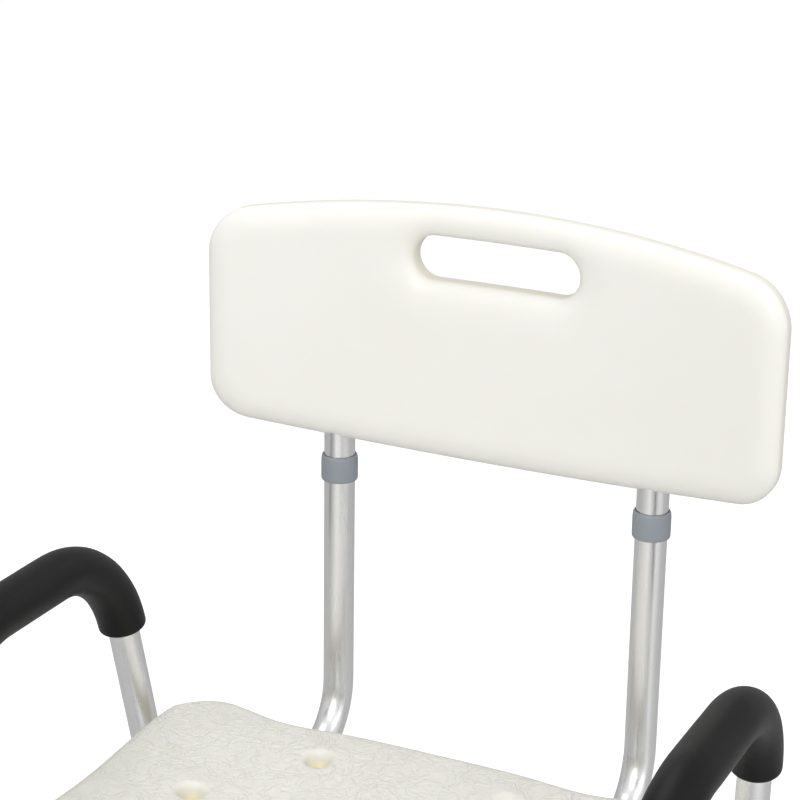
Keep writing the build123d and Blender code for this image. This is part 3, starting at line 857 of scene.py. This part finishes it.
# the foam sleeves on the arms, each a bent run with rounded cut ends
foamShape = {"radius": 0.0195, "bend": 0.091, "edge": 0.0035, "halfLength": 0.1134, "drop": 0.07534,
             "sides": 56, "unevenness": 0.00022}


def armFoam(name, side):
    shape = foamShape
    top = armHigh.z - tubeRadius
    topX = side * (armHigh.x - tubeRadius)
    endX = topX - side * slopes["tuck"] * shape["drop"]
    reach = shape["halfLength"] + slopes["lean"] * shape["drop"]
    points = [(endX, midY + reach, top - shape["drop"]), (topX, midY + shape["halfLength"], top),
              (topX, midY - shape["halfLength"], top), (endX, midY - reach, top - shape["drop"])]
    frames = sweepFrames(roundedRun(points, shape["bend"], 0.003))
    count = shape["sides"]
    verts = []
    inner = tubeRadius + 0.0001
    start, finish = frames[0], frames[-1]

    def ring(spot, sideways, up, radius, wobble):
        for i in range(count):
            a = 2 * math.pi * i / count
            out = sideways * math.cos(a) + up * math.sin(a)
            extra = noise.noise((spot + out * radius) * 38) * wobble
            verts.append(spot + out * (radius + extra))

    def endRings(end, sign):
        # from the bore out over the cut face and round its edge
        rings = [(inner, 0.0), (shape["radius"] - shape["edge"], 0.0)]
        for i in range(1, 6):
            a = math.pi / 2 * i / 6
            rings.append((shape["radius"] - shape["edge"] * (1 - math.sin(a)),
                          shape["edge"] * (1 - math.cos(a))))
        return [(end[0] + end[3] * sign * depth, end[1], end[2], radius) for radius, depth in rings]

    for spot, sideways, up, radius in endRings(start, 1):
        ring(spot, sideways, up, radius, 0)
    edge = shape["edge"]
    body = [f for f in frames if (f[0] - start[0]).length > edge and (f[0] - finish[0]).length > edge]
    for spot, sideways, up, _ in body:
        ring(spot, sideways, up, shape["radius"], shape["unevenness"])
    for spot, sideways, up, radius in reversed(endRings(finish, -1)):
        ring(spot, sideways, up, radius, 0)
    for spot, sideways, up, _ in reversed(frames[1:-1]):
        ring(spot, sideways, up, inner, 0)
    faces = ringFaces(0, count, len(verts) // count, closed=True)
    piece = makePiece("armFoam_" + name, verts, faces, "frame", "black_foam", "arm_foam_" + name)
    piece.data.materials.append(blackFoam)


for name, side in sides.items():
    armFoam(name, side)
print("arm foam made")


corners = [(end, side) for end in ("front", "rear") for side in ("left", "right")]
ends = {"front": -1, "rear": 1}


def legAxis(end, side):
    return Vector((-sides[side] * slopes["splay"], -ends[end] * slopes["lean"], 1)).normalized()


def turned(profile, base, axis, count=48, hexed=()):
    # turns (radius, height) points about the axis; rings listed in hexed get six flats
    axis = Vector(axis).normalized()
    across = axis.orthogonal().normalized()
    third = axis.cross(across)
    verts = []
    for ring, (radius, height) in enumerate(profile):
        for i in range(count):
            angle = 2 * math.pi * i / count
            size = radius
            if ring in hexed:
                size *= math.cos(math.pi / 6) / math.cos(angle % (math.pi / 3) - math.pi / 6)
            out = across * math.cos(angle) + third * math.sin(angle)
            verts.append(Vector(base) + axis * height + out * size)
    return verts, ringFaces(0, count, len(profile))


def turnedPiece(name, makes, body, slotName, material, replaced, sharp=None):
    verts = []
    faces = []
    for made, more in makes:
        faces += [tuple(i + len(verts) for i in face) for face in more]
        verts += made
    piece = makePiece(name, verts, faces, body, slotName, replaced)
    piece.data.materials.append(material)
    if sharp:
        piece.data.set_sharp_from_angle(angle=math.radians(sharp))
    return piece


def loopProfile(profile):
    # a sleeve's profile comes back to where it started
    return profile + [profile[0]]


collarShape = {
    "wall": 0.0023, "bore": tubeRadius + 0.00005,
    "back": {"height": 0.022, "lip": 0.006, "looseBore": tubeRadius + 0.0003},
    "leg": {"height": 0.020, "lip": 0.004, "looseBore": 0.01142},
}


def collarProfile(kind):
    # (radius, height) round the wall; the bore widens for the lip's height at the far end
    outer = tubeRadius + collarShape["wall"]
    bore = collarShape["bore"]
    height, lip, looseBore = (collarShape[kind][key] for key in ("height", "lip", "looseBore"))
    return loopProfile([
        (bore, 0.0), (outer - 0.0010, 0.0), (outer - 0.0004, 0.0003), (outer, 0.0010),
        (outer + 0.0001, 0.0030), (outer + 0.0001, height - 0.0060), (outer, height - 0.0040),
        (outer - 0.0002, height - 0.0020),
        (outer - 0.0006, height - 0.0008), (outer - 0.0011, height - 0.0002), (outer - 0.0016, height),
        (looseBore + 0.0002, height - 0.0002), (looseBore, height - 0.0010),
        (looseBore, height - lip + 0.0003),
        (bore, height - lip),
    ])


def collars():
    profile = collarProfile("back")
    for name, side in sides.items():
        node = "back_collar_" + name
        base = (side * postX, postY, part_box(node)[0].z)
        turnedPiece("backCollarSleeve_" + name, [turned(profile, base, (0, 0, 1), 64)], "frame",
                    "grey_plastic", greyPlastic, node)
    profile = collarProfile("leg")
    for end, side in corners:
        node = f"leg_collar_{end}_{side}"
        axis = legAxis(end, side)
        base = middle(node) + axis * collarShape["leg"]["height"] / 2
        turnedPiece(f"legCollarSleeve_{end}_{side}", [turned(profile, base, -axis, 64)], "frame",
                    "grey_plastic", greyPlastic, node)


collars()

footShape = {
    "profile": [(0.0, 0.0004), (0.0120, 0.0004), (0.0125, 0.0012), (0.0155, 0.0012), (0.0160, 0.0),
                (0.0208, 0.0),
                (0.0217, 0.0004), (0.0222, 0.0014), (0.0223, 0.0030), (0.0221, 0.0044), (0.0214, 0.0050),
                (0.0213, 0.0056), (0.0217, 0.0064), (0.0216, 0.0078), (0.0208, 0.0084), (0.0207, 0.0090),
                (0.0210, 0.0098), (0.0207, 0.0114), (0.0200, 0.0140), (0.0191, 0.0170), (0.0182, 0.0200),
                (0.0174, 0.0228), (0.0167, 0.0256), (0.0161, 0.0286), (0.0157, 0.0320), (0.0155, 0.0360),
                (0.0154, 0.0420), (0.0155, 0.0436), (0.0160, 0.0442), (0.0162, 0.0450), (0.0162, 0.0502),
                (0.0160, 0.0512), (0.0155, 0.0518), (0.0135, 0.0520), (0.0116, 0.0520), (0.01117, 0.0516),
                (0.01117, 0.0090), (0.0, 0.0090)],
    "straighten": (0.004, 0.034), "widest": 0.0224, "sides": 56,
}


def feet():
    # level rings at the floor that tip over onto the slanting leg
    for end, side in corners:
        node = f"foot_{end}_{side}"
        low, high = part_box(node)
        widest = footShape["widest"]
        toe = Vector((high.x - widest if side == "right" else low.x + widest,
                      high.y - widest if end == "rear" else low.y + widest, 0))
        axis = legAxis(end, side)
        verts = []
        count = footShape["sides"]
        for radius, height in footShape["profile"]:
            tip = smoothStep(*footShape["straighten"], height)
            normal = Vector((0, 0, 1)).lerp(axis, tip).normalized()
            across = Vector((0, 1, 0)).cross(normal).normalized()
            third = normal.cross(across)
            centre = toe + axis * (height / axis.z)
            for i in range(count):
                angle = 2 * math.pi * i / count
                verts.append(centre + (across * math.cos(angle) + third * math.sin(angle)) * radius)
        faces = ringFaces(0, count, len(footShape["profile"]))
        turnedPiece(f"footRubber_{end}_{side}", [(verts, faces)], f"leg_{end}_{side}", "foot_rubber",
                    footRubber, node)


feet()

armBelowBolt = 0.013  # how far each arm tube runs on past its bolt
plugProfile = [(0.0, 0.0020), (0.0040, 0.0020), (0.0080, 0.0018), (0.0105, 0.0014), (0.0119, 0.0008),
               (0.0126, 0.0002),
               (0.0127, -0.0001), (0.0112, -0.0001), (0.0111, -0.0004), (0.0111, -0.0076), (0.0107, -0.0080),
               (0.0, -0.0080)]


def plugs():
    # a low dome on each open tube end
    makes = []
    for end, side in corners:
        axis = Vector((-sides[side] * slopes["tuck"], ends[end] * slopes["lean"], -1)).normalized()
        makes.append(turned(plugProfile, armMouth(end, side), axis))
    turnedPiece("armTubePlugs", makes, "frame", "dark_plastic", darkPlastic, "arm_plugs")
    low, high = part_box("rail_plugs")
    makes = [turned(plugProfile, (side * postX, low.y + plugProfile[0][1], (low.z + high.z) / 2), (0, -1, 0))
             for side in sides.values()]
    turnedPiece("railTubePlugs", makes, "frame", "dark_plastic", darkPlastic, "rail_plugs")
    low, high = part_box("back_tube_plugs")
    makes = [turned(plugProfile, (side * postX, postY, high.z - plugProfile[0][1]),
                    (0, 0, 1)) for side in sides.values()]
    turnedPiece("backTubePlugs", makes, "back", "dark_plastic", darkPlastic, "back_tube_plugs")


def armMouth(end, side):
    # centre of the open end of an arm tube
    lowZ = middle("arm_nuts").z - armBelowBolt
    drop = armHigh.z - tubeRadius - lowZ
    x = sides[side] * (armHigh.x - tubeRadius - slopes["tuck"] * drop)
    return Vector((x, midY + ends[end] * (foamShape["halfLength"] + slopes["lean"] * drop), lowZ))


plugs()

buttonProfile = [(0.0, 0.0), (0.0039, 0.0), (0.0040, 0.0002), (0.0040, 0.0048), (0.0038, 0.0056),
                 (0.0033, 0.0062),
                 (0.0025, 0.0066), (0.0014, 0.0069), (0.0, 0.0070)]


def buttons():
    # domed pins, with a leaf spring behind each
    for name in sides:
        node = "back_button_" + name
        centre = middle(node)
        base = Vector((centre.x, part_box(node)[0].y, centre.z))
        turnedButton(node, base, Vector((0, 1, 0)), node)
        leafSpring(node, base, Vector((0, 1, 0)), Vector((0, 0, 1)))
    for end, side in corners:
        node = f"leg_button_{end}_{side}"
        axis = legAxis(end, side)
        out = Vector((0, ends[end], 0))
        out = (out - axis * out.dot(axis)).normalized()
        base = middle(node) - out * buttonLength / 2
        turnedButton(node, base, out, node)
        leafSpring(node, base, out, axis)


def turnedButton(node, base, out, body):
    profile = [(radius, height * buttonLength / buttonProfile[-1][1]) for radius, height in buttonProfile]
    turnedPiece("snap_" + node, [turned(profile, base, out, 32)], body, "bright_steel", steel, node)


springShape = {"seat": 0.00742, "far": -0.00795, "above": 0.008, "below": 0.006, "length": 0.040,
               "farEnd": 0.002,
               "thick": 0.0008, "width": 0.008, "turn": 0.0016, "gap": 0.00005}


def leafSpring(button, base, out, up):
    # bent strip behind a button; on the chair its seat moves with the button and its far leg stays, here it
    # is one still piece placed behind the button
    shape = springShape
    line = roundedRun([(shape["seat"], 0, shape["above"]), (shape["seat"], 0, -shape["below"]),
                       (0, 0, -shape["length"]), (shape["far"], 0, shape["farEnd"])], shape["turn"], 0.0004)
    axisPoint = base - out * (shape["seat"] + shape["thick"] / 2 + shape["gap"])
    sideways = out.cross(up)
    verts = []
    for i, spot in enumerate(line):
        ahead = (line[min(i + 1, len(line) - 1)] - line[max(i - 1, 0)]).normalized()
        flat = Vector((ahead.z, 0, -ahead.x)) * shape["thick"] / 2
        for offset, across in ((flat, 1), (-flat, 1), (-flat, -1), (flat, -1)):
            p = spot + offset
            verts.append(axisPoint + out * p.x + up * p.z + sideways * across * shape["width"] / 2)
    faces = ringFaces(0, 4, len(line)) + [(0, 1, 2, 3), tuple(len(verts) - i for i in (1, 2, 3, 4))]
    node = button.replace("button", "spring")
    piece = turnedPiece("leaf_" + node, [(verts, faces)], None, "bright_steel", steel, node, 40)
    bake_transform(piece)


backButtonLow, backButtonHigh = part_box("back_button_left")
buttonLength = backButtonHigh.y - backButtonLow.y
buttons()
print("collars, feet, plugs and buttons made")

headProfile = [(0.0, 0.0014), (0.0019, 0.0014), (0.0021, 0.0016), (0.0022, 0.0033), (0.0024, 0.0035),
               (0.0034, 0.0034),
               (0.0042, 0.0030), (0.0047, 0.0023), (0.0049, 0.0014), (0.0050, 0.0002), (0.0049, 0.0)]
nutProfile = [(0.0031, 0.0), (0.0053, 0.0), (0.0057, 0.0003), (0.0057, 0.0042), (0.0052, 0.0047),
              (0.0045, 0.0049),
              (0.0043, 0.0053), (0.0041, 0.0062), (0.0034, 0.0071), (0.0022, 0.0078), (0.0010, 0.0080),
              (0.0, 0.0080)]
washerProfile = [(0.00305, 0.0001), (0.0067, 0.0), (0.0070, 0.0002), (0.0070, 0.0010), (0.0067, 0.0012),
                 (0.00305, 0.0012), (0.00305, 0.0001)]
boltRadius = 0.0030
headHeight = 0.0036


def hexNut(base, axis):
    # the bore ends under the dome, so the nut is closed
    inner = [(0.0, 0.0060), (0.0031, 0.0060)]
    return turned(inner + nutProfile, base, axis, 36, hexed=(3, 4, 5))  # the rings with six flats


def socketBolt(underHead, axis, length):
    # axis points out of the head; the six-sided socket is cut in it
    shank = [(boltRadius, 0.0), (boltRadius, -length + 0.0004), (boltRadius - 0.0004, -length),
             (0.0, -length)]
    return turned(headProfile + shank, underHead, axis, 36, hexed=(1, 2, 3))


def nodeSpots(node, axis):
    # a node's separate solids, as groups of points; shells on one line along the axis are one group
    work = bmesh.new()
    work.from_mesh(nodes[node].data)
    work.transform(nodes[node].matrix_world)
    seen = set()
    shells = []
    for seed in work.verts:
        if seed in seen:
            continue
        stack = [seed]
        seen.add(seed)
        found = []
        while stack:
            vertex = stack.pop()
            found.append(vertex.co.copy())
            for edge in vertex.link_edges:
                other = edge.other_vert(vertex)
                if other not in seen:
                    seen.add(other)
                    stack.append(other)
        shells.append(found)
    work.free()
    axis = Vector(axis)
    groups = []
    for found in shells:
        centre = sum(found, Vector()) / len(found)
        for group in groups:
            offset = centre - group["centre"]
            if (offset - axis * offset.dot(axis)).length < 0.02 and abs(offset.dot(axis)) < 0.06:
                group["points"] += found
                break
        else:
            groups.append({"centre": centre, "points": list(found)})
    return groups


def spanOf(group, axis):
    axis = Vector(axis)
    reach = [p.dot(axis) for p in group["points"]]
    side = [p - axis * p.dot(axis) for p in group["points"]]
    low = Vector((min(p.x for p in side), min(p.y for p in side), min(p.z for p in side)))
    high = Vector((max(p.x for p in side), max(p.y for p in side), max(p.z for p in side)))
    return (low + high) / 2, min(reach), max(reach)


def fasteners():
    makes = {"arm_nuts": [], "arm_washers": [], "arm_bolts": [], "frame_nuts": [], "frame_washers": [],
             "frame_bolts": [], "seat_bolts": [], "seat_washers": []}
    for node in makes:
        across = node.startswith("arm")
        for group in nodeSpots(node, (1, 0, 0) if across else (0, 0, 1)):
            right = group["centre"].x > 0
            axis = Vector((1 if right else -1, 0, 0)) if across else Vector((0, 0, -1))
            if node == "frame_bolts":
                axis = Vector((0, 0, 1))
            if node == "arm_bolts":
                axis = -axis
            centre, low, high = spanOf(group, axis)
            if node.endswith("nuts"):
                makes[node].append(hexNut(centre + axis * low, axis))
            elif node.endswith("washers"):
                makes[node].append(turned(washerProfile, centre + axis * low, axis))
            else:
                under = high - headHeight
                makes[node].append(socketBolt(centre + axis * under, axis, under - low))
    for node, made in makes.items():
        words = node.split("_")
        turnedPiece(words[0] + words[1].capitalize() + "Turned", made, "frame", "bright_steel", steel, node,
                    40)


fasteners()
print("fasteners made")


viewShape = {"azimuth": 25.42, "elevation": 19.0, "roll": 0.82, "lens": 107.95, "distance": 1.9233,
             "aimX": -0.0816, "aimAboveCollar": 0.05446}


def addCamera():
    a = math.radians(viewShape["azimuth"])
    e = math.radians(viewShape["elevation"])
    r = math.radians(viewShape["roll"])
    ahead = Vector((-math.sin(a) * math.cos(e), math.cos(a) * math.cos(e), -math.sin(e)))
    right = Vector((math.cos(a), math.sin(a), 0))
    up = right.cross(ahead)
    right, up = right * math.cos(r) + up * math.sin(r), up * math.cos(r) - right * math.sin(r)
    aim = Vector((viewShape["aimX"], postY, collarTop + viewShape["aimAboveCollar"]))
    data = bpy.data.cameras.new("camera")
    data.lens = viewShape["lens"]
    data.sensor_width = 36
    data.clip_end = 100
    camera = bpy.data.objects.new("camera", data)
    bpy.context.scene.collection.objects.link(camera)
    turn = Matrix((right, up, -ahead)).transposed().to_4x4()
    camera.matrix_world = Matrix.Translation(aim - ahead * viewShape["distance"]) @ turn
    bpy.context.scene.camera = camera


def addLamp(name, place, aim, width, height, power):
    data = bpy.data.lights.new(name, "AREA")
    data.shape = "RECTANGLE"
    data.size = width
    data.size_y = height
    data.energy = power
    lamp = bpy.data.objects.new(name, data)
    lamp.location = place
    lamp.rotation_mode = "QUATERNION"
    lamp.rotation_quaternion = (Vector(aim) - Vector(place)).to_track_quat("-Z", "Y")
    bpy.context.scene.collection.objects.link(lamp)


studioShape = {
    "worldBack": 0.48, "worldFront": 0.92, "cards": [(7, 30, 0.34), (79, 26, 0.26)],
    "floorBase": 0.55, "floorSize": 14.0, "seenGlow": 0.36,
    "lamps": [("keyPanel", (0.3, -2.4, 2.2), 1.2, 1.6, 26), ("sidePanel", (2.3, -0.4, 1.6), 0.8, 2.0, 8),
              ("topPanel", (-0.7, 0.4, 2.7), 1.6, 1.6, 13)],
}


def headingVector(angle):
    # level direction, counted from the front towards the right
    a = math.radians(angle)
    return (math.sin(a), -math.cos(a), 0.0)


def addStudio():
    world = bpy.data.worlds.new("studio")
    world.use_nodes = True
    tree = world.node_tree
    tree.nodes["Background"].inputs["Color"].default_value = (1.0, 1.0, 1.0, 1)
    place = addNode(tree, "ShaderNodeTexCoord")
    ahead = addNode(tree, "ShaderNodeVectorMath", {0: place.outputs["Generated"], 1: headingVector(30)},
                    operation="DOT_PRODUCT")
    level = ramp(tree, ahead.outputs["Value"], -0.8, 0.8, studioShape["worldBack"], studioShape["worldFront"])
    light = addNode(tree, "ShaderNodeLightPath")
    strength = addNode(tree, "ShaderNodeMath", {0: light.outputs["Is Camera Ray"], 1: level},
                       operation="MAXIMUM")
    tree.links.new(strength.outputs[0], tree.nodes["Background"].inputs["Strength"])
    bpy.context.scene.world = world
    bpy.context.scene.view_settings.view_transform = "Standard"
    addFloor()

    for name, place, width, height, power in studioShape["lamps"]:
        addLamp(name, place, (0, postY, collarTop), width, height, power)


def addFloor():
    # pale floor; beside the object it is shaded like cards round a table, which only reflections see
    material, tree, shader = newMaterial("paleFloor")
    place = addNode(tree, "ShaderNodeTexCoord")
    level = studioShape["floorBase"]
    heading = addNode(tree, "ShaderNodeVectorMath", {0: place.outputs["Object"]}, operation="NORMALIZE")
    for angle, spread, gain in studioShape["cards"]:
        towards = addNode(tree, "ShaderNodeVectorMath", {0: heading.outputs[0], 1: headingVector(angle)},
                          operation="DOT_PRODUCT")
        card = ramp(tree, towards.outputs["Value"], math.cos(math.radians(spread)), 1.0, 0.0, gain)
        level = addNode(tree, "ShaderNodeMath", {0: card, 1: level}, operation="ADD").outputs[0]
    light = addNode(tree, "ShaderNodeLightPath")
    seen = light.outputs["Is Camera Ray"]
    grey = addNode(tree, "ShaderNodeCombineColor", {0: level, 1: level, 2: level})
    tree.links.new(mixColour(tree, seen, grey.outputs[0], (0.93, 0.93, 0.93)), shader.inputs["Base Color"])
    shader.inputs["Roughness"].default_value = 0.9
    shader.inputs["Specular IOR Level"].default_value = 0.0
    shader.inputs["Emission Color"].default_value = (1, 1, 1, 1)
    glow = addNode(tree, "ShaderNodeMath", {0: seen, 1: studioShape["seenGlow"]}, operation="MULTIPLY")
    tree.links.new(glow.outputs[0], shader.inputs["Emission Strength"])
    mesh = bpy.data.meshes.new("floor")
    size = studioShape["floorSize"]
    mesh.from_pydata([(-size, -size, 0), (size, -size, 0), (size, size, 0), (-size, size, 0)], [],
                     [(0, 1, 2, 3)])
    mesh.materials.append(material)
    floor = bpy.data.objects.new("floor", mesh)
    floor.location.z = -0.0005
    bpy.context.scene.collection.objects.link(floor)


addCamera()
addStudio()
print("studio set")
